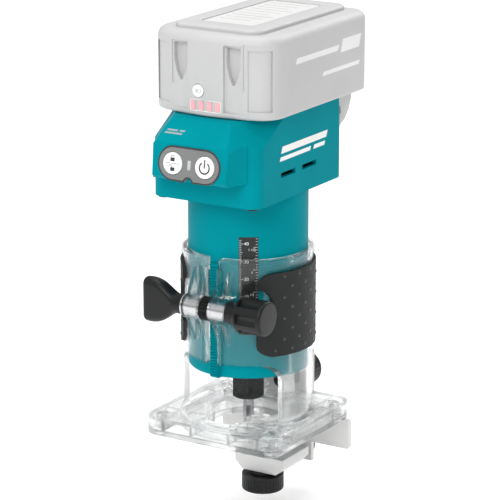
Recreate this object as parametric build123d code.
from build123d import *
import math
import os

# Cordless trim router with a clear trimmer base, an edge guide and its battery pack.
# Millimetres. +Z is up, the front with the control panel faces -Y.
# The origin is the spindle's axis at the underside of the sole plate.

# --- driving dimensions -------------------------------------------------------------------
FIT = 0.05                 # radial clearance of a shaft turning in its hole
GAP = 0.3                  # clearance between pieces that pass each other

MOTOR_R = 32.5             # outside of the motor housing
MOTOR_BORE_R = 29.8
MOTOR_BOTTOM = 37.0
MOTOR_TOP = 136.0

SLEEVE_IN_R = MOTOR_R + GAP
SLEEVE_OUT_R = 35.2
SLEEVE_TOP = 103.5
WINDOW_TOP = 45.0          # top of the working windows in the clear base
SLIT_HALF = 3.5            # half width of the clamping slit

PLATE_HALF = 42.0          # half width of the square base plate
PLATE_TOP = 10.5
PLATE_CORNER_R = 8.0
SOLE_T = 3.0
OPENING_R = 20.0           # opening for the bit
PAD_TOP = 12.2

GEAR_MODULE = 0.5
PINION_TEETH = 24
PINION_R = GEAR_MODULE * PINION_TEETH / 2
PINION_Z = 77.3
RACK_PITCH_Y = -35.0
BACKLASH = 0.15
PINION_Y = RACK_PITCH_Y - PINION_R - BACKLASH
SHAFT_R = 3.0
BUSH_R = 4.5
EAR_X = 13.0
EAR_R = 6.6

GRIP_R = 36.7
GRIP_BOTTOM = 50.0
GRIP_TOP = 96.0

NUT_FLAT = 8.5             # half the width across the flats of the collet nut
SHANK_R = 3.0
BIT_BOTTOM = 1.0            # drawn up just clear of the sole

HEAD_HALF = 33.0
HEAD_BACK = 46.0
HEAD_FRONT = -45.5
HEAD_CORNER_R = 7.5
HEAD_WALL = 2.6
HEAD_TOP = 181.2
HEAD_SPLIT = 149.6         # underside of the nose
PILLAR_X = 27.3
PILLAR_Y = 40.0
NOSE_FRONT = -59.5
NOSE_LEAN = 8.0            # degrees that the control panel leans back
NOSE_HALF = 21.5
SHOULDER_Z = 169.5         # where the slanting shoulders meet the nose's front face
SHOULDER_NORMAL = (231.0, -127.5, 203.0)
REAR_TAPER = 0.2           # the back leans in by this much per millimetre of height
VENT_Y = (-13.4, 8.4)
VENT_Z = 149.7
PANEL_Z = 158.8
BUTTON_X = 9.8
BUTTON_R = 5.75

CHANNEL_HALF = 30.3        # channel in the head for the battery's rails
CHANNEL_FLOOR = 162.7
CHANNEL_FRONT = -40.0

PACK_HALF = 37.5
PACK_FRONT = -43.0
PACK_BACK = 67.0
PACK_BOTTOM = 181.5
PACK_TOP = 225.0
PACK_PLATEAU = 227.5
PACK_TOP_ROUND = 5.0       # radius of the pack's upper edges
CELL_R = 9.2
CELL_LENGTH = 65.0
CELL_PITCH = 19.2
CELL_FRONT = -23.7         # axis of the foremost cells

GUIDE_FACE = 42.3          # front face of the guide plate, just behind the base
GUIDE_T = 2.7
FENCE_TOP = -2.2           # clear of the sole's bottom face
GUIDE_HALF = 15.8
CLAMP_Z = 16.0
SCREW_Z = -26.5            # axis of the guide's adjusting screw
ROLLER_Y = 15.5
ROLLER_R = 11.75
ROLLER_TOP = -33.0
ROLLER_BOTTOM = -42.0


# --- helpers ------------------------------------------------------------------------------
def tube(r_out, r_in, z0, z1):
    """A vertical tube on the spindle's axis."""
    outer = Pos(0, 0, z0) * Cylinder(r_out, z1 - z0, align=(Align.CENTER, Align.CENTER, Align.MIN))
    if r_in <= 0:
        return outer
    return outer - Pos(0, 0, z0) * Cylinder(r_in, z1 - z0, align=(Align.CENTER, Align.CENTER, Align.MIN))


def rod_z(x, y, z0, z1, r):
    return Pos(x, y, (z0 + z1) / 2) * Cylinder(r, z1 - z0)


def rod_x(x0, x1, y, z, r):
    return Pos((x0 + x1) / 2, y, z) * Rot(0, 90, 0) * Cylinder(r, x1 - x0)


def rod_y(x, y0, y1, z, r):
    return Pos(x, (y0 + y1) / 2, z) * Rot(90, 0, 0) * Cylinder(r, y1 - y0)


def block(x0, x1, y0, y1, z0, z1):
    return Pos((x0 + x1) / 2, (y0 + y1) / 2, (z0 + z1) / 2) * Box(x1 - x0, y1 - y0, z1 - z0)


def round_block(x0, x1, y0, y1, z0, z1, r):
    """A block with rounded vertical corners."""
    outline = Pos((x0 + x1) / 2, (y0 + y1) / 2) * RectangleRounded(x1 - x0, y1 - y0, r)
    return extrude(Pos(0, 0, z0) * outline, z1 - z0)


def prism_x(points, x0, x1):
    """Extrude a (y, z) outline along X."""
    face = make_face(Plane.YZ * Polyline(*points, close=True))
    return extrude(Pos(x0, 0, 0) * face, x1 - x0, dir=(1, 0, 0))


def prism_z(points, z0, z1):
    """Extrude an (x, y) outline along Z."""
    face = make_face(Polyline(*points, close=True))
    return extrude(Pos(0, 0, z0) * face, z1 - z0)


def at_azimuth(azimuth, shape):
    """Turn a shape made at the front (-Y) to an azimuth towards +X."""
    return Rot(0, 0, azimuth) * shape


def mirrored(shape):
    return mirror(shape, about=Plane.YZ)


def biggest(shape):
    return max(shape.solids(), key=lambda s: s.volume)


# --- clear trimmer base -------------------------------------------------------------------
PLATE_SCREWS = [(-34.5, -32.0), (34.5, -32.0), (-34.5, 32.0), (34.5, 32.0)]
PLATE_WALL = 2.6
PAD_LEFT = 10.5            # raised pad at the plate's front right corner
PAD_BACK = -13.0
NOTCH_HALF = 11.0          # the opening runs forward to this notch, behind the front bar
NOTCH_FRONT = -31.0
PLATE_SKIN = 8.0           # underside of the plate's top skin
WINDOW_CORNER_R = 9.0
FRONT_WINDOW_HALF = 30.0
REAR_WINDOW_HALF = 26.5


def plate_shell():
    shell = round_block(-PLATE_HALF, PLATE_HALF, -PLATE_HALF, PLATE_HALF, SOLE_T, PLATE_TOP, PLATE_CORNER_R)
    pad = round_block(PAD_LEFT, PLATE_HALF, -PLATE_HALF, PAD_BACK, PLATE_TOP, PAD_TOP, 6.5)
    inner = PLATE_HALF - PLATE_WALL
    hollow = round_block(-inner, inner, -inner, inner, SOLE_T, PLATE_SKIN, PLATE_CORNER_R - PLATE_WALL)
    hollow -= tube(OPENING_R + PLATE_WALL, 0, SOLE_T, PLATE_SKIN)
    hollow -= tube(SLEEVE_OUT_R + 2.0, SLEEVE_OUT_R - 0.6, SOLE_T, PLATE_SKIN)
    for x in (-30.0, -12.0, 12.0, 30.0):
        hollow -= block(x - 0.9, x + 0.9, -PLATE_HALF, PLATE_HALF, SOLE_T, PLATE_SKIN)
    for y in (-22.0, 22.0):
        hollow -= block(-PLATE_HALF, PLATE_HALF, y - 0.9, y + 0.9, SOLE_T, PLATE_SKIN)
    for x, y in PLATE_SCREWS:
        hollow -= rod_z(x, y, SOLE_T, PLATE_SKIN, 4.2)
    shell = shell + pad - hollow - tube(OPENING_R, 0, 0, PAD_TOP)
    shell -= block(-NOTCH_HALF, NOTCH_HALF, NOTCH_FRONT, -10, SOLE_T, PAD_TOP)
    return shell - tube(SLEEVE_IN_R, OPENING_R + 4, PLATE_TOP, PAD_TOP + 1)


def window_cutter(half_width, y0, y1):
    """Prism of a working window, with rounded upper corners."""
    bottom = -20.0
    outline = Pos(0, (bottom + WINDOW_TOP) / 2) * RectangleRounded(
        2 * half_width, WINDOW_TOP - bottom, WINDOW_CORNER_R
    )
    return Pos(0, y1, 0) * extrude(Plane.XZ * outline, y1 - y0)


def sleeve_and_columns():
    """Clamp sleeve on two columns, which are thicker at the foot."""
    foot = PLATE_TOP - 1
    foot_height = 4.0
    body = tube(SLEEVE_OUT_R, 0, foot, SLEEVE_TOP)
    body += tube(SLEEVE_OUT_R + 0.9, 0, SLEEVE_TOP - 3.2, SLEEVE_TOP - 0.6)
    body += Pos(0, 0, foot) * Cone(
        SLEEVE_OUT_R + 2.4, SLEEVE_OUT_R, foot_height, align=(Align.CENTER, Align.CENTER, Align.MIN)
    )
    body += ear() + mirrored(ear())
    body -= tube(SLEEVE_IN_R, 0, foot, SLEEVE_TOP)
    body -= window_cutter(FRONT_WINDOW_HALF, -80, 0) + window_cutter(REAR_WINDOW_HALF, 0, 80)
    return body - block(-SLIT_HALF, SLIT_HALF, -60, -20, WINDOW_TOP - 1, SLEEVE_TOP + 1)


def ear():
    """Right clamping ear, with its gussets and the rail beside the slit."""
    lug = rod_x(SLIT_HALF, EAR_X, PINION_Y, PINION_Z, EAR_R)
    lug += block(SLIT_HALF, EAR_X, PINION_Y, -28, PINION_Z - EAR_R, PINION_Z + EAR_R)
    top = [(-33, 97.5), (-36.2, 97.5), (PINION_Y - 3.0, PINION_Z + 5.5), (-33, PINION_Z + 5.0)]
    low = [(-33, 57.0), (-36.2, 57.0), (PINION_Y - 3.0, PINION_Z - 5.5), (-33, PINION_Z - 5.0)]
    for outline in (top, low):
        lug += prism_x(outline, SLIT_HALF, SLIT_HALF + 2.2)
        lug += prism_x(outline, EAR_X - 3.4, EAR_X - 1.4)
    lug += block(SLIT_HALF, SLIT_HALF + 2.6, -37.6, -30, WINDOW_TOP, SLEEVE_TOP - 5)
    return lug


def rear_boss():
    """Block at the back that the edge guide is clamped to."""
    return round_block(-10, 10, 33.6, PLATE_HALF, PLATE_TOP - 1, CLAMP_Z + 8, 1.5)


def trimmer_base():
    boss = rear_boss() - tube(SLEEVE_IN_R, 0, PLATE_TOP, SLEEVE_TOP)
    body = plate_shell() + sleeve_and_columns() + boss
    body -= rod_x(-EAR_X - 1, EAR_X + 1, PINION_Y, PINION_Z, BUSH_R)
    body -= rod_y(0, 30, 60, CLAMP_Z, 4.0)
    for x, y in PLATE_SCREWS:
        body -= rod_z(x, y, SOLE_T, PLATE_TOP - 2.2, 1.5)
    return body


def sole_plate():
    plate = round_block(-PLATE_HALF, PLATE_HALF, -PLATE_HALF, PLATE_HALF, 0, SOLE_T, PLATE_CORNER_R)
    plate = chamfer(plate.faces().sort_by(Axis.Z)[0].edges(), 0.6)
    plate -= tube(OPENING_R, 0, 0, SOLE_T)
    for x, y in PLATE_SCREWS:
        plate -= rod_z(x, y, 0, SOLE_T, 1.5) + rod_z(x, y, 0, 1.6, 3.2)
    return plate


def countersunk_screw(x, y, z_head, z_tip, r_head, r):
    """A vertical screw whose recessed head is at z_head and points to z_tip."""
    head_t = 1.4 if z_tip > z_head else -1.4
    head = rod_z(x, y, min(z_head, z_head + head_t), max(z_head, z_head + head_t), r_head)
    shank = rod_z(x, y, min(z_head, z_tip), max(z_head, z_tip), r)
    slot = Pos(x, y, z_head) * (Box(r_head * 1.3, 0.7, 1.2) + Box(0.7, r_head * 1.3, 1.2))
    return head + shank - slot


def sole_screws():
    return [countersunk_screw(x, y, 0.2, PLATE_TOP - 2.3, 3.1, 1.5) for x, y in PLATE_SCREWS]


def grip_right():
    """Elastomer pad moulded on the sleeve, notched beside the adjusting knob."""
    front = -27.5
    outline = Pos((front + 31.5) / 2, (GRIP_BOTTOM + GRIP_TOP) / 2) * RectangleRounded(
        31.5 - front, GRIP_TOP - GRIP_BOTTOM, 6.0
    )
    notch = Pos(front - 4.0, PINION_Z - 2.0) * RectangleRounded(19.0, 25.0, 8.0)
    pad = extrude(Plane.YZ * (outline - notch), 60)
    return pad & tube(GRIP_R, SLEEVE_OUT_R, GRIP_BOTTOM, GRIP_TOP)


def grip_left():
    return mirrored(grip_right())


def ear_bushes():
    """Steel bushes in the two ears, with a flange on the outer side."""
    right = rod_x(SLIT_HALF - 0.4, EAR_X, PINION_Y, PINION_Z, BUSH_R)
    right -= rod_x(0, EAR_X + 1, PINION_Y, PINION_Z, SHAFT_R + FIT)
    return [right, mirrored(right)]


def clamp_washer():
    washer = rod_x(-EAR_X - 1.0, -EAR_X, PINION_Y, PINION_Z, 6.0)
    return washer - rod_x(-EAR_X - 2, 0, PINION_Y, PINION_Z, SHAFT_R + FIT)


def clamp_insert():
    """Brass threaded insert for the edge guide's clamp screw."""
    return rod_y(0, 33.6, PLATE_HALF, CLAMP_Z, 4.0) - rod_y(0, 30, 60, CLAMP_Z, 2.5 + FIT)


# --- depth adjuster -----------------------------------------------------------------------
def tooth_angle(r):
    """Half angle of a pinion tooth at radius r, for an involute of 20 degrees."""
    pressure = math.radians(20)
    base_r = PINION_R * math.cos(pressure)
    thinning = 0.06 / PINION_R
    half_at_pitch = math.pi / (2 * PINION_TEETH) - thinning
    if r <= base_r:
        return half_at_pitch + math.tan(pressure) - pressure
    local = math.acos(base_r / r)
    return half_at_pitch + (math.tan(pressure) - pressure) - (math.tan(local) - local)


def pinion():
    root_r = PINION_R - 1.25 * GEAR_MODULE
    tip_r = PINION_R + 0.85 * GEAR_MODULE
    base_r = PINION_R * math.cos(math.radians(20))
    flank = [root_r, base_r, PINION_R, (PINION_R + tip_r) / 2, tip_r]
    points = []
    for tooth in range(PINION_TEETH):
        middle = 2 * math.pi * (tooth + 0.5) / PINION_TEETH
        for r in flank:
            a = middle - tooth_angle(r)
            points.append((PINION_Y + r * math.cos(a), PINION_Z + r * math.sin(a)))
        for r in reversed(flank):
            a = middle + tooth_angle(r)
            points.append((PINION_Y + r * math.cos(a), PINION_Z + r * math.sin(a)))
    gear = prism_x(points, -2.7, 2.7)
    return gear - rod_x(-5, 5, PINION_Y, PINION_Z, SHAFT_R)


def adjusting_shaft():
    return rod_x(-30, 24, PINION_Y, PINION_Z, SHAFT_R)


def adjusting_knob():
    """Fluted knob with a smooth collar, fixed on the right end of the shaft."""
    collar = rod_x(EAR_X + 0.6, 21.0, PINION_Y, PINION_Z, 6.0)
    grip = rod_x(20.5, 37.6, PINION_Y, PINION_Z, 9.5)
    grip = fillet(grip.edges().group_by(Axis.X)[-1], 1.6)
    grip = fillet(grip.edges().group_by(Axis.X)[0], 1.0)
    flutes = 6
    for i in range(flutes):
        a = 2 * math.pi * i / flutes
        y = PINION_Y + 11.2 * math.cos(a)
        z = PINION_Z + 11.2 * math.sin(a)
        grip -= rod_x(22.5, 35.0, y, z, 3.6)
    return collar + grip - rod_x(EAR_X, 24, PINION_Y, PINION_Z, SHAFT_R)


def clamp_wing_nut():
    """Paddle-shaped nut that draws the two ears together."""
    stem = rod_x(-20, -EAR_X - 1.3, PINION_Y, PINION_Z, 5.4)
    sections = [
        (-16.0, 5.2, 5.2), (-22.0, 5.0, 7.0), (-28.0, 4.6, 11.0), (-33.0, 4.4, 12.4), (-39.2, 4.0, 12.2),
    ]
    faces = []
    for x, half_y, half_z in sections:
        outline = RectangleRounded(2 * half_y, 2 * half_z, half_y * 0.92)
        faces.append(Pos(x, PINION_Y, PINION_Z) * (Plane.YZ * outline))
    paddle = loft(faces)
    paddle = fillet(paddle.faces().sort_by(Axis.X)[0].edges(), 2.2)
    return stem + paddle - rod_x(-31, 0, PINION_Y, PINION_Z, SHAFT_R + FIT)


# --- motor unit ---------------------------------------------------------------------------
RACK_HALF = 2.5
RACK_TOP = 100.5
RACK_BACK = -30.9
SCALE_AZIMUTH = 31.8
SCALE_HALF = 5.2
SCALE_BOTTOM = 62.0
SCALE_TOP = 115.7
BEARING_R = 11.0
BEARING_BORE = 4.0
BEARING_T = 7.0
LOWER_BEARING = 42.0
UPPER_BEARING = 122.5
STATOR_R = 24.0
STATOR_BOTTOM = 60.0
STATOR_TOP = 104.0
LOCK_Z = 127.0
LOCK_AZIMUTH = -115.0
LAMP_AZIMUTHS = (75.0, -75.0)
LAMP_RING = 23.0


def motor_housing():
    shell = tube(MOTOR_R, 0, MOTOR_BOTTOM, MOTOR_TOP)
    shell = fillet(shell.edges().group_by(Axis.Z)[0], 1.2)
    shell -= tube(MOTOR_BORE_R, 0, MOTOR_BOTTOM + 4, MOTOR_TOP)
    shell += tube(BEARING_R + 3, 0, MOTOR_BOTTOM + 1, LOWER_BEARING + BEARING_T)
    for z in (STATOR_BOTTOM, STATOR_TOP - 6):
        shell += tube(MOTOR_BORE_R + 0.5, STATOR_R, z, z + 6)
    shell += block(-RACK_HALF - 2.4, RACK_HALF + 2.4, -30.4, -27.6, MOTOR_BOTTOM + 2, RACK_TOP + 2)
    shell -= tube(BEARING_R, 0, LOWER_BEARING, LOWER_BEARING + BEARING_T)
    shell -= tube(8.4, 0, MOTOR_BOTTOM - 1, LOWER_BEARING)
    shell -= block(-RACK_HALF, RACK_HALF, -40, RACK_BACK, MOTOR_BOTTOM - 1, RACK_TOP)
    shell -= at_azimuth(SCALE_AZIMUTH, scale_recess())
    shell -= at_azimuth(LOCK_AZIMUTH, rod_y(0, -40, -20, LOCK_Z, 5.0 + GAP))
    for azimuth in LAMP_AZIMUTHS:
        shell -= at_azimuth(azimuth, rod_z(0, -LAMP_RING, MOTOR_BOTTOM - 1, MOTOR_BOTTOM + 5, 3.0))
    return biggest(shell)


def scale_recess():
    strip = round_block(-SCALE_HALF, SCALE_HALF, -40, -10, SCALE_BOTTOM, SCALE_TOP, 0.01)
    return strip & tube(MOTOR_R + 1, MOTOR_R - 0.5, SCALE_BOTTOM, SCALE_TOP)


def depth_scale():
    return at_azimuth(SCALE_AZIMUTH, scale_recess() & tube(MOTOR_R, 0, SCALE_BOTTOM, SCALE_TOP))


def rack():
    """Toothed strip on the front of the motor housing."""
    pitch = math.pi * GEAR_MODULE
    addendum = 0.85 * GEAR_MODULE
    dedendum = 1.1 * GEAR_MODULE
    lean = math.tan(math.radians(20))
    bottom = MOTOR_BOTTOM
    points = [(RACK_BACK, bottom)]
    first = math.ceil((bottom + pitch / 2 - PINION_Z) / pitch)
    last = math.floor((RACK_TOP - pitch / 2 - PINION_Z) / pitch)
    points.append((RACK_PITCH_Y + dedendum, bottom))
    for k in range(first, last + 1):
        z = PINION_Z + k * pitch
        half_root = pitch / 4 + dedendum * lean - 0.03
        half_tip = pitch / 4 - addendum * lean - 0.03
        points.append((RACK_PITCH_Y + dedendum, z - half_root))
        points.append((RACK_PITCH_Y - addendum, z - half_tip))
        points.append((RACK_PITCH_Y - addendum, z + half_tip))
        points.append((RACK_PITCH_Y + dedendum, z + half_root))
    points.append((RACK_PITCH_Y + dedendum, RACK_TOP))
    points.append((RACK_BACK, RACK_TOP))
    return prism_x(points, -RACK_HALF, RACK_HALF)


def bearing(z0):
    """Deep-groove ball bearing: inner ring, outer ring, balls in one cage ring."""
    outer = tube(BEARING_R, BEARING_R - 2.4, z0, z0 + BEARING_T)
    inner = tube(BEARING_BORE + 2.2, BEARING_BORE, z0, z0 + BEARING_T)
    web = tube(BEARING_R - 2.4, BEARING_BORE + 2.2, z0 + 0.6, z0 + BEARING_T - 0.6)
    return outer + inner + web


def bearing_plate():
    """Disc that holds the upper bearing inside the housing."""
    plate = tube(MOTOR_BORE_R, BEARING_BORE + 1.5, UPPER_BEARING - 2, UPPER_BEARING + 1)
    plate += tube(BEARING_R + 2.5, BEARING_BORE + 1.5, UPPER_BEARING, UPPER_BEARING + BEARING_T)
    plate -= tube(BEARING_R, 0, UPPER_BEARING, UPPER_BEARING + BEARING_T)
    for i in range(6):
        plate -= at_azimuth(60 * i + 30, rod_z(0, -21.5, UPPER_BEARING - 3, UPPER_BEARING + 2, 4.6))
    return plate - at_azimuth(LOCK_AZIMUTH, rod_y(0, -40, -14, LOCK_Z, 5.0 + GAP))


def stator_core():
    core = tube(STATOR_R, 21.0, STATOR_BOTTOM, STATOR_TOP)
    shoes = tube(15.6, 13.8, STATOR_BOTTOM, STATOR_TOP)
    teeth = 6
    for i in range(teeth):
        core += at_azimuth(360 / teeth * i, block(-2.6, 2.6, -21.5, -15.0, STATOR_BOTTOM, STATOR_TOP))
        shoes -= at_azimuth(360 / teeth * (i + 0.5), block(-1.1, 1.1, -16.5, -13, STATOR_BOTTOM, STATOR_TOP))
    return core + shoes


def stator_windings():
    """One coil round each tooth of the stator."""
    coils = []
    for i in range(6):
        outer = block(-4.6, 4.6, -20.2, -16.0, STATOR_BOTTOM - 4, STATOR_TOP + 4)
        outer = fillet(outer.edges().filter_by(Axis.Y), 2.0)
        coil = outer - block(-2.6, 2.6, -22, -15, STATOR_BOTTOM, STATOR_TOP)
        coils.append(at_azimuth(60 * i, coil))
    return coils


def lamp_lenses():
    """Clear lenses of the two work lights under the motor."""
    lenses = []
    for azimuth in LAMP_AZIMUTHS:
        lens = rod_z(0, -LAMP_RING, MOTOR_BOTTOM - 0.4, MOTOR_BOTTOM + 4, 3.0)
        lenses.append(at_azimuth(azimuth, fillet(lens.edges().group_by(Axis.Z)[0], 0.35)))
    return lenses


def shaft_lock():
    """Button that pushes a pin towards a hole across the spindle."""
    cap = rod_y(0, -MOTOR_R - 3.2, -26.0, LOCK_Z, 5.0)
    cap = fillet(cap.edges().group_by(Axis.Y)[0], 1.0)
    pin = rod_y(0, -26.0, -19.0, LOCK_Z, 1.6)
    return at_azimuth(LOCK_AZIMUTH, cap + pin)


def shaft_lock_spring():
    """Return spring, drawn as its sleeve."""
    ring = rod_y(0, -25.7, -20.0, LOCK_Z, 3.2) - rod_y(0, -26, -19, LOCK_Z, 2.2)
    return at_azimuth(LOCK_AZIMUTH, ring)


# --- spindle ------------------------------------------------------------------------------
def spindle():
    shaft = tube(BEARING_BORE, 0, 38, 132)
    nose = tube(6.5, 0, 24, LOWER_BEARING - 0.2)
    return shaft + nose - tube(4.9, 0, 24, 38.5) + tube(4.9, 0, 38, 40)


def collet_cone():
    cone = tube(4.9, SHANK_R, 20.5, 37)
    for i in range(4):
        cone -= at_azimuth(90 * i, block(-0.3, 0.3, -6, 0, 20.5, 33))
    return cone


def collet_nut():
    hexagon = extrude(Pos(0, 0, 17) * RegularPolygon(NUT_FLAT, 6, major_radius=False), 20)
    rounded = Pos(0, 0, 27) * Cylinder(9.8, 20.0)
    rounded = fillet(rounded.edges().group_by(Axis.Z)[0], 2.6)
    rounded = chamfer(rounded.edges().group_by(Axis.Z)[-1], 1.0)
    nut = hexagon & rounded
    nut = Rot(0, 0, 2.0) * nut
    return nut - tube(5.2, 0, 16, 22) - tube(6.5 + FIT, 0, 22, 38)


def router_bit():
    """Two-flute straight bit."""
    shank = tube(SHANK_R, 0, 4, 36)
    cutter = tube(SHANK_R, 0, BIT_BOTTOM, 12)
    cutter -= block(0.4, 5, -5, -0.6, BIT_BOTTOM - 1, 12)
    cutter -= block(-5, -0.4, 0.6, 5, BIT_BOTTOM - 1, 12)
    return biggest(shank - tube(4, 0, 3, 12) + cutter)


def rotor_core():
    return tube(13.2, BEARING_BORE, STATOR_BOTTOM, STATOR_TOP)


def cooling_fan():
    fan = tube(7.0, BEARING_BORE, 110, 119) + tube(25.5, 6.5, 110, 111.2)
    blades = 11
    for i in range(blades):
        fan += at_azimuth(360 * i / blades, block(-0.5, 0.5, -25.0, -6.5, 111, 118))
    return fan


# --- head ---------------------------------------------------------------------------------
def lean_point(z):
    """Y of the nose's leaning front face at height z."""
    return NOSE_FRONT + (z - HEAD_SPLIT) * math.tan(math.radians(NOSE_LEAN))


def head_plan(inset=0.0):
    """Plan of the head with rounded corner pillars."""
    depth = HEAD_BACK - HEAD_FRONT - 2 * inset
    corner = HEAD_CORNER_R - inset
    return Pos(0, (HEAD_BACK + HEAD_FRONT) / 2) * RectangleRounded(2 * HEAD_HALF - 2 * inset, depth, corner)


def head_slab(inset, z0, z1):
    return Pos(0, 0, z0) * extrude(head_plan(inset), z1 - z0)


def beyond(origin, normal):
    """Everything on the outer side of a slanting face."""
    above = Box(200, 200, 60, align=(Align.CENTER, Align.CENTER, Align.MIN))
    return Plane(origin=origin, z_dir=normal) * above


def channel_shape(half, corner_y, corner_x, front, z0, z1):
    """Straight channel or rail, open at the back, with its front corners cut off."""
    right = [(corner_x, front), (half, corner_y), (half, 100)]
    return prism_z([(-x, y) for x, y in reversed(right)] + right, z0, z1)


def shoulder_cuts():
    """Slanting shoulders at the two front corners, up to the pack's rounded corners."""
    cut = beyond((NOSE_HALF, lean_point(SHOULDER_Z), SHOULDER_Z), SHOULDER_NORMAL)
    return cut + mirrored(cut)


def head_housing():
    """Upper housing: flange on the motor, screw pillars, vents and the battery channel."""
    body = head_slab(0, MOTOR_TOP, HEAD_TOP)
    body -= head_slab(HEAD_WALL, MOTOR_TOP + 3, CHANNEL_FLOOR - 2.5)
    for x in (-PILLAR_X, PILLAR_X):
        for y in (-PILLAR_Y, PILLAR_Y):
            body += rod_z(x, y, MOTOR_TOP, CHANNEL_FLOOR - 1, 5.2)
    body &= head_slab(0, MOTOR_TOP, HEAD_TOP)
    body -= tube(MOTOR_BORE_R, 0, MOTOR_TOP - 1, MOTOR_TOP + 3)
    body -= channel_shape(CHANNEL_HALF, -20.8, 19.7, CHANNEL_FRONT, CHANNEL_FLOOR, HEAD_TOP + 1)
    for side in (1, -1):
        rail = block(27.2, 31, -34, HEAD_BACK, 170.4, 173.6)
        body += rail if side > 0 else mirrored(rail)
    body -= block(-9, 9, 38, 60, CHANNEL_FLOOR - 1.6, CHANNEL_FLOOR + 1)
    body -= block(-12, 12, -36, -32, CHANNEL_FLOOR - 4, CHANNEL_FLOOR + 1)
    for y_mid in VENT_Y:
        vent = block(-60, 60, y_mid - 7.4, y_mid + 7.4, VENT_Z - 1.3, VENT_Z + 1.3)
        body -= vent - block(-28, 28, -60, 60, 0, 200)
    nose_room = block(-19, 19, -60, -40, 151.5, 168)
    body -= nose_room
    body -= rod_x(-4.3, 4.3, 41.5, 152.0, 10.0)
    for x in (-PILLAR_X, PILLAR_X):
        for y in (-PILLAR_Y, PILLAR_Y):
            body -= rod_z(x, y, MOTOR_TOP - 1, MOTOR_TOP + 11, 1.6)
            body -= rod_z(x, y, MOTOR_TOP - 1, MOTOR_TOP + 0.6, 3.4)
    body -= shoulder_cuts()
    body -= beyond((0, HEAD_BACK, HEAD_SPLIT), (0, 1, REAR_TAPER))
    return biggest(body)


def nose_cover():
    """Cover in front of the head that carries the control panel."""
    back = -45.5
    front = [
        (back, HEAD_SPLIT), (lean_point(HEAD_SPLIT) + 2.0, HEAD_SPLIT), (lean_point(151.4), 151.4),
        (lean_point(169.0), 169.0), (lean_point(169.0) + 1.6, 170.6), (-46.6, 179.6), (back, 180.6),
    ]
    shape = prism_x(front, -40, 40)
    half_plan = [(NOSE_HALF, -62), (23.0, -57.0), (26.0, -48.0), (27.5, back)]
    plan = [(-x, y) for x, y in reversed(half_plan)] + half_plan
    shape &= prism_z(plan, 140, 190)
    shape -= shoulder_cuts()
    inside = [(back, 151.8), (-55.4, 151.8), (-53.6, 167.6), (back, 171)]
    shape -= prism_x(inside, -19, 19)
    pocket = panel_frame(CONTROL_HALF + 0.15, CONTROL_H + 0.15, -1.6, 3)
    for x in (-BUTTON_X, BUTTON_X):
        pocket += panel_disc(x, BUTTON_R + GAP, -8, 3)
    shape -= pocket
    return biggest(shape)


CONTROL_HALF = 19.0
CONTROL_H = 9.1


def panel_plane():
    """Plane of the leaning panel: local X is the row's X, local Y runs up the face."""
    y = lean_point(PANEL_Z)
    lean = math.radians(NOSE_LEAN)
    return Plane(origin=(0, y, PANEL_Z), x_dir=(1, 0, 0), z_dir=(0, -math.cos(lean), math.sin(lean)))


def panel_frame(half_w, half_h, depth_from, depth_to):
    outline = RectangleRounded(2 * half_w, 2 * half_h, half_h - 0.01)
    face = panel_plane() * (Pos(0, 0, depth_from) * outline)
    return extrude(face, depth_to - depth_from, dir=panel_plane().z_dir)


def panel_disc(x, r, depth_from, depth_to):
    face = panel_plane() * (Pos(x, 0, depth_from) * Circle(r))
    return extrude(face, depth_to - depth_from, dir=panel_plane().z_dir)


def control_panel():
    panel = panel_frame(CONTROL_HALF, CONTROL_H, -1.6, 0.35)
    for x in (-BUTTON_X, BUTTON_X):
        panel -= panel_disc(x, BUTTON_R + GAP, -3, 2)
    lamp = panel_plane() * Pos(0, 0, -0.4) * Box(2.1, 5.0, 4)
    notch = panel_plane() * Pos(0, -CONTROL_H - 0.2, 0) * Cylinder(2.4, 6)
    return panel - lamp - notch


def panel_lamp():
    """Light pipe between the buttons."""
    return panel_plane() * Pos(0, 0, -0.7) * Box(2.1, 5.0, 1.8)


def panel_button(x):
    cap = panel_disc(x, BUTTON_R, -4.6, 0.9)
    return fillet(cap.edges().sort_by(Axis.Y)[0:1], 0.35)


def head_screws():
    return [
        countersunk_screw(x, y, MOTOR_TOP - 1.1, MOTOR_TOP + 10, 3.2, 1.6)
        for x in (-PILLAR_X, PILLAR_X)
        for y in (-PILLAR_Y, PILLAR_Y)
    ]


def speed_dial():
    """Thumb wheel at the back of the head."""
    wheel = rod_x(-4, 4, 41.5, 152.0, 8.2)
    teeth = 24
    for i in range(teeth):
        a = 2 * math.pi * i / teeth
        wheel -= rod_x(-4, 4, 41.5 + 8.5 * math.cos(a), 152.0 + 8.5 * math.sin(a), 0.6)
    return wheel


def controller_board():
    """Circuit board with its components, under the battery channel."""
    board = block(-22, 22, -30, 24, 143.0, 144.6)
    board += block(-16, -4, -24, -8, 144.5, 151)
    board += block(4, 15, -22, -2, 144.5, 149)
    for y in (8, 18):
        board += rod_z(-12, y, 144.5, 155, 4.5)
    return board


def terminal_block():
    return block(-18, 18, CHANNEL_FRONT, -35.6, CHANNEL_FLOOR, 176)


def terminal_blades():
    return [block(x - 0.4, x + 0.4, -35.6, -22, 165.2, 172.5) for x in (-9.0, 0.0, 9.0)]


# --- battery pack -------------------------------------------------------------------------
PACK_WALL = 2.0
PACK_CORNER_R = 14.0
PACK_BACK_R = 10.0
PACK_BOW_R = 90.0
GROOVE_X = 16.0
RAIL_FRONT = -35.0
PACK_SCREWS = [(-30.5, -28.5), (30.5, -28.5), (-31.0, 59.5), (31.0, 59.5)]
LABEL_HALF = 16.0
LABEL_FRONT = -21.3
LABEL_BACK = 50.0


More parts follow.
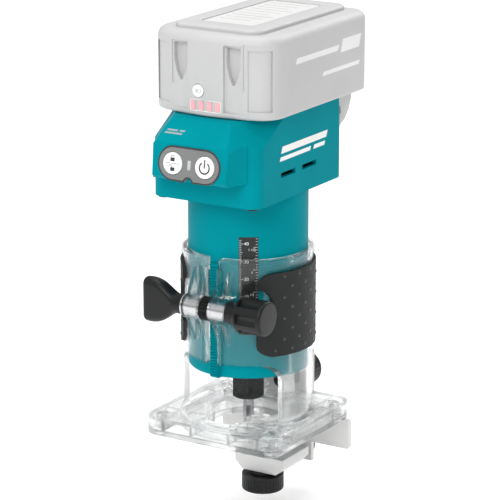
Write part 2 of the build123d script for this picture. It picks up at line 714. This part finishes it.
def pack_plan(inset=0.0):
    """Plan of the pack: bowed front with wide corners, square back."""
    half = PACK_HALF - inset
    front = PACK_FRONT + inset
    back = PACK_BACK - inset
    plan = Pos(0, (front + back) / 2) * Rectangle(2 * half, back - front)
    plan &= Pos(0, PACK_FRONT + PACK_BOW_R) * Circle(PACK_BOW_R - inset)
    plan = fillet(plan.vertices().sort_by(Axis.Y)[:2], PACK_CORNER_R - inset)
    return fillet(plan.vertices().sort_by(Axis.Y)[-2:], PACK_BACK_R - inset)


def pack_slab(inset, z0, z1):
    return Pos(0, 0, z0) * extrude(pack_plan(inset), z1 - z0)


def pack_front_at(x):
    """Y of the bowed front face at a distance x from the middle."""
    return PACK_FRONT + PACK_BOW_R - math.sqrt(PACK_BOW_R ** 2 - x ** 2)


def front_groove(x):
    """Pocket beside the gauge panel that narrows to a point, with a shallow channel round it."""
    outline = [
        (-4.3, 219), (4.3, 219), (4.1, 209), (2.6, 203), (0.5, 199), (-0.5, 199), (-2.6, 203), (-4.1, 209),
    ]
    face = pack_front_at(x)
    opening = Plane.XZ * Polygon(*outline, align=None)
    pocket = Pos(x, face + 4.2, 0) * extrude(opening, 10, dir=(0, -1, 0))
    channel = round_block(x - 5.2, x + 5.2, face - 8, face + 1.1, 184.5, 220, 0.5)
    return pocket + channel


def label_block(margin, z0, z1):
    half = LABEL_HALF + margin
    return round_block(-half, half, LABEL_FRONT - margin, LABEL_BACK + margin, z0, z1, 2)


def battery_case():
    shell = pack_slab(0, PACK_BOTTOM, PACK_TOP)
    shell = fillet(shell.faces().sort_by(Axis.Z)[-1].edges(), PACK_TOP_ROUND)
    shell = fillet(shell.faces().sort_by(Axis.Z)[0].edges(), 1.6)
    plateau = round_block(-27, 27, PACK_FRONT + 9, PACK_BACK - 6, PACK_TOP - 2, PACK_PLATEAU, 8)
    plateau = fillet(plateau.faces().sort_by(Axis.Z)[-1].edges(), 1.6)
    shell += plateau
    shell -= label_block(0.2, PACK_PLATEAU - 0.8, PACK_PLATEAU + 1)
    shell -= pack_slab(PACK_WALL, PACK_BOTTOM, PACK_TOP - 3.4)
    shell -= pack_slab(PACK_TOP_ROUND + 1, PACK_TOP - 4, PACK_TOP - 0.6)
    for x in (-GROOVE_X, GROOVE_X):
        shell += block(x - 6, x + 6, PACK_FRONT + 1.8, PACK_FRONT + 7.2, 197, 221)
        shell -= front_groove(x)
    skin = pack_slab(0, 186, 218) - pack_slab(0.9, 186, 218)
    for side in (-1, 1):
        shell -= skin & block(side * 29.5 - 5.5, side * 29.5 + 5.5, -60, -28, 186, 218)
    shell -= block(-9.5, 9.5, -50, PACK_FRONT + 0.6, 183.8, 190.4)
    shell -= rod_y(-4.0, -50, -30, 195.0, 3.3 + GAP)
    for x in (-7.5, -2.5, 2.5, 7.5):
        shell -= block(x - 1.3, x + 1.3, -50, -34, 184.9, 189.4)
    shell -= block(-13, 13, 60, 80, PACK_BOTTOM - 1, 199)
    return biggest(shell)


def battery_rail_cover():
    """Floor of the pack with the rail block that slides into the head."""
    body = pack_slab(PACK_WALL + 0.1, PACK_BOTTOM, PACK_BOTTOM + 2.4)
    side_view = [
        (RAIL_FRONT, 163.0), (45.5, 163.0), (51.5, 166.0), (56.0, 171.0), (58.5, 177.0), (59.0, PACK_BOTTOM),
        (RAIL_FRONT, PACK_BOTTOM),
    ]
    rail = prism_x(side_view, -30, 30) & channel_shape(30, -19.5, 21.5, RAIL_FRONT, 160, PACK_BOTTOM)
    for side in (1, -1):
        slot = block(26.8, 31, RAIL_FRONT - 1, HEAD_BACK + 1, 170, 174)
        rail -= slot if side > 0 else mirrored(slot)
    inner = [(-18, 165.4), (44, 165.4), (50, 168.5), (54, 173), (56, PACK_BOTTOM + 3), (-18, PACK_BOTTOM + 3)]
    body = body + rail - prism_x(inner, -24, 24)
    for x in (-9.0, 0.0, 9.0):
        body -= block(x - 1.2, x + 1.2, RAIL_FRONT - 1, -17, 162, 175)
    for x, y in PACK_SCREWS:
        body -= rod_z(x, y, PACK_BOTTOM - 1, PACK_BOTTOM + 3, 1.2)
        body -= rod_z(x, y, PACK_BOTTOM - 1, PACK_BOTTOM + 1.2, 2.4)
    body -= block(-13, 13, 40, 80, 160, PACK_BOTTOM + 4)
    return biggest(body)


def battery_cells():
    cells = []
    for row in range(2):
        for column in range(5):
            y = CELL_FRONT + CELL_PITCH * column
            z = PACK_BOTTOM + 2.6 + CELL_R + 19.0 * row
            cells.append(rod_x(-CELL_LENGTH / 2, CELL_LENGTH / 2, y, z, CELL_R))
    return cells


def cell_straps():
    """Nickel strips that join the cells' ends."""
    straps = []
    for side in (-1, 1):
        x = side * (CELL_LENGTH / 2 + 0.3)
        for column in (0, 2, 4):
            y = CELL_FRONT + CELL_PITCH * column
            straps.append(block(x - 0.15, x + 0.15, y - 4, y + 4, PACK_BOTTOM + 8, PACK_BOTTOM + 36))
    return straps


def battery_terminals():
    """Spring contacts behind the pack's three slots."""
    clips = []
    for x in (-9.0, 0.0, 9.0):
        clip = block(x - 2.0, x + 2.0, -17.9, -12, 167, 173)
        clips.append(clip - block(x - 1.0, x + 1.0, -18, -14, 167, 173))
    return clips


def charge_lamps():
    return [
        block(x - 1.3, x + 1.3, PACK_FRONT + 0.2, PACK_FRONT + 3.1, 184.9, 189.4) for x in (-7.5, -2.5, 2.5, 7.5)
    ]


def battery_label():
    return label_block(0, PACK_PLATEAU - 0.8, PACK_PLATEAU - 0.5)


def battery_screws():
    return [countersunk_screw(x, y, PACK_BOTTOM - 0.2, PACK_BOTTOM + 2.3, 2.4, 1.2) for x, y in PACK_SCREWS]


def gauge_button():
    return rod_y(-4.0, PACK_FRONT - 0.3, PACK_FRONT + 2.9, 195.0, 3.3)


def latch_button():
    """Release button at the back of the pack, with the hook that drops into the head."""
    button = block(-12.6, 12.6, 63.4, PACK_BACK - 0.4, 183, 195.5)
    for step in range(4):
        button -= rod_x(-10, 10, PACK_BACK + 0.2, 185.5 + 2.6 * step, 0.9)
    hook = block(-8.5, 8.5, 42, 46, 161.6, 180) + block(-8.5, 8.5, 42, 66, 176, 180)
    return button + hook + block(-8.5, 8.5, 63.4, 66, 176, 184)


def latch_spring():
    """Spring above the release button, drawn as its sleeve."""
    return rod_z(0, 64.4, 195.6, 198.9, 2.4) - rod_z(0, 64.4, 195, 199, 1.5)


# --- edge guide ---------------------------------------------------------------------------
CHANNEL_TOP = -22.0
ARM_BOTTOM = -31.5
ARM_HALF = 15.5
ARM_FRONT = 11.0
TONGUE_FRONT = 32.3


def guide_plate():
    """Slotted plate behind the base, with the tongue that the arm slides on."""
    plate = block(-GUIDE_HALF, GUIDE_HALF, GUIDE_FACE, GUIDE_FACE + GUIDE_T, ARM_BOTTOM, 36)
    plate = fillet(plate.edges().filter_by(Axis.Y).group_by(Axis.Z)[-1], 4.0)
    slot_top = 31.0
    slot = block(-3.3, 3.3, 40, 50, CLAMP_Z, slot_top - 3.3)
    slot += rod_y(0, 40, 50, CLAMP_Z, 3.3) + rod_y(0, 40, 50, slot_top - 3.3, 3.3)
    tongue = block(-11.6, 11.6, TONGUE_FRONT, GUIDE_FACE + 0.5, -29.2, CHANNEL_TOP - 0.6)
    return plate + tongue - slot - rod_y(0, 20, 50, SCREW_Z, 2.5 + FIT)


def guide_fence():
    """Straight fence under the back edge of the sole."""
    fence = block(-41.5, 41.5, GUIDE_FACE - 3.0, GUIDE_FACE, -19.0, FENCE_TOP)
    fence = fillet(fence.edges().filter_by(Axis.Y), 1.5)
    for x in (-11, 11):
        fence -= rod_y(x, 30, 50, -10, 1.6)
    return fence


def fence_screws():
    """Two screws through the fence into the guide plate."""
    screws = []
    for x in (-11, 11):
        head = rod_y(x, GUIDE_FACE - 4.4, GUIDE_FACE - 3.0, -10, 3.0)
        screws.append(head + rod_y(x, GUIDE_FACE - 3.0, GUIDE_FACE, -10, 1.6))
    return screws


def clamp_knob():
    """Knurled screw knob that clamps the guide plate to the base."""
    knob = rod_y(0, 50.5, 64, CLAMP_Z, 10.0)
    knob = fillet(knob.edges().group_by(Axis.Y)[-1], 1.2)
    knurls = 30
    for i in range(knurls):
        a = 2 * math.pi * i / knurls
        knob -= rod_y(10.25 * math.cos(a), 50, 62.0, CLAMP_Z + 10.25 * math.sin(a), 0.62)
    collar = rod_y(0, GUIDE_FACE + GUIDE_T + GAP, 51, CLAMP_Z, 6.5)
    return knob + collar + rod_y(0, 36, 51, CLAMP_Z, 2.5)


def guide_arm():
    """Sliding arm under the sole: a block in front, two cheeks behind."""
    chamfer_w = 4.6
    half = ARM_HALF
    outline = [
        (-half, CHANNEL_TOP), (half, CHANNEL_TOP), (half, ARM_BOTTOM + chamfer_w),
        (half - chamfer_w, ARM_BOTTOM), (-half + chamfer_w, ARM_BOTTOM), (-half, ARM_BOTTOM + chamfer_w),
    ]
    face = make_face(Plane.XZ * Polyline(*outline, close=True))
    arm = extrude(face, 40.0 - ARM_FRONT, dir=(0, 1, 0))
    arm = Pos(0, ARM_FRONT, 0) * arm
    arm -= block(-11.9, 11.9, 30, 41, ARM_BOTTOM + 2.0, CHANNEL_TOP + 1)
    arm -= rod_y(0, 20.0, 31, SCREW_Z, 2.5 + FIT)
    return arm - rod_z(0, ROLLER_Y, ARM_BOTTOM - 1, CHANNEL_TOP + 1, 2.5)


def roller_axle():
    """Shouldered screw that carries the roller."""
    axle = rod_z(0, ROLLER_Y, -42.6, CHANNEL_TOP + 0.4, 2.5)
    return axle + rod_z(0, ROLLER_Y, -43.5, ROLLER_BOTTOM - 0.3, 4.0)


def guide_roller():
    """Ribbed roller with a stepped hub on top."""
    roller = rod_z(0, ROLLER_Y, ROLLER_BOTTOM, ROLLER_TOP, ROLLER_R)
    roller = fillet(roller.edges().group_by(Axis.Z)[0], 1.2)
    ribs = 36
    for i in range(ribs):
        a = 2 * math.pi * i / ribs
        x = (ROLLER_R + 0.15) * math.cos(a)
        y = ROLLER_Y + (ROLLER_R + 0.15) * math.sin(a)
        roller -= rod_z(x, y, ROLLER_BOTTOM + 0.8, ROLLER_TOP - 1.0, 0.5)
    roller += rod_z(0, ROLLER_Y, ROLLER_TOP, ROLLER_TOP + 1.2, 7.0)
    return roller - rod_z(0, ROLLER_Y, -50, -20, 2.5 + FIT)


def guide_screw():
    """Adjusting screw of the arm, with its knurled knob behind the guide plate."""
    knob = rod_y(0, 49.5, 57.5, SCREW_Z, 10.0)
    knob = fillet(knob.edges().group_by(Axis.Y)[-1], 1.2)
    knurls = 30
    for i in range(knurls):
        a = 2 * math.pi * i / knurls
        knob -= rod_y(10.25 * math.cos(a), 49, 55.5, SCREW_Z + 10.25 * math.sin(a), 0.62)
    collar = rod_y(0, GUIDE_FACE + GUIDE_T + GAP, 50, SCREW_Z, 5.5)
    return knob + collar + rod_y(0, 22.6, 50, SCREW_Z, 2.5)


# --- export -------------------------------------------------------------------------------
NODES = {
    "trimmer_base": trimmer_base,
    "sole_plate": sole_plate,
    "sole_screws": sole_screws,
    "grip_left": grip_left,
    "grip_right": grip_right,
    "ear_bushes": ear_bushes,
    "clamp_washer": clamp_washer,
    "clamp_insert": clamp_insert,
    "adjusting_shaft": adjusting_shaft,
    "pinion": pinion,
    "adjusting_knob": adjusting_knob,
    "clamp_wing_nut": clamp_wing_nut,
    "motor_housing": motor_housing,
    "rack": rack,
    "depth_scale": depth_scale,
    "lower_bearing": lambda: bearing(LOWER_BEARING),
    "upper_bearing": lambda: bearing(UPPER_BEARING),
    "bearing_plate": bearing_plate,
    "stator_core": stator_core,
    "stator_windings": stator_windings,
    "lamp_lenses": lamp_lenses,
    "shaft_lock": shaft_lock,
    "shaft_lock_spring": shaft_lock_spring,
    "spindle": spindle,
    "collet_cone": collet_cone,
    "collet_nut": collet_nut,
    "router_bit": router_bit,
    "rotor_core": rotor_core,
    "cooling_fan": cooling_fan,
    "head_housing": head_housing,
    "nose_cover": nose_cover,
    "control_panel": control_panel,
    "panel_lamp": panel_lamp,
    "lock_button": lambda: panel_button(-BUTTON_X),
    "power_button": lambda: panel_button(BUTTON_X),
    "head_screws": head_screws,
    "speed_dial": speed_dial,
    "controller_board": controller_board,
    "terminal_block": terminal_block,
    "terminal_blades": terminal_blades,
    "battery_case": battery_case,
    "battery_rail_cover": battery_rail_cover,
    "battery_cells": battery_cells,
    "cell_straps": cell_straps,
    "battery_terminals": battery_terminals,
    "charge_lamps": charge_lamps,
    "battery_label": battery_label,
    "battery_screws": battery_screws,
    "gauge_button": gauge_button,
    "latch_button": latch_button,
    "latch_spring": latch_spring,
    "guide_plate": guide_plate,
    "guide_fence": guide_fence,
    "fence_screws": fence_screws,
    "clamp_knob": clamp_knob,
    "guide_arm": guide_arm,
    "roller_axle": roller_axle,
    "guide_roller": guide_roller,
    "guide_screw": guide_screw,
}


def solid_or_group(made):
    if isinstance(made, list):
        return Compound(children=[biggest(piece) for piece in made])
    return biggest(made)


os.makedirs("parts", exist_ok=True)
for node, make in NODES.items():
    export_step(solid_or_group(make()), f"parts/{node}.step")
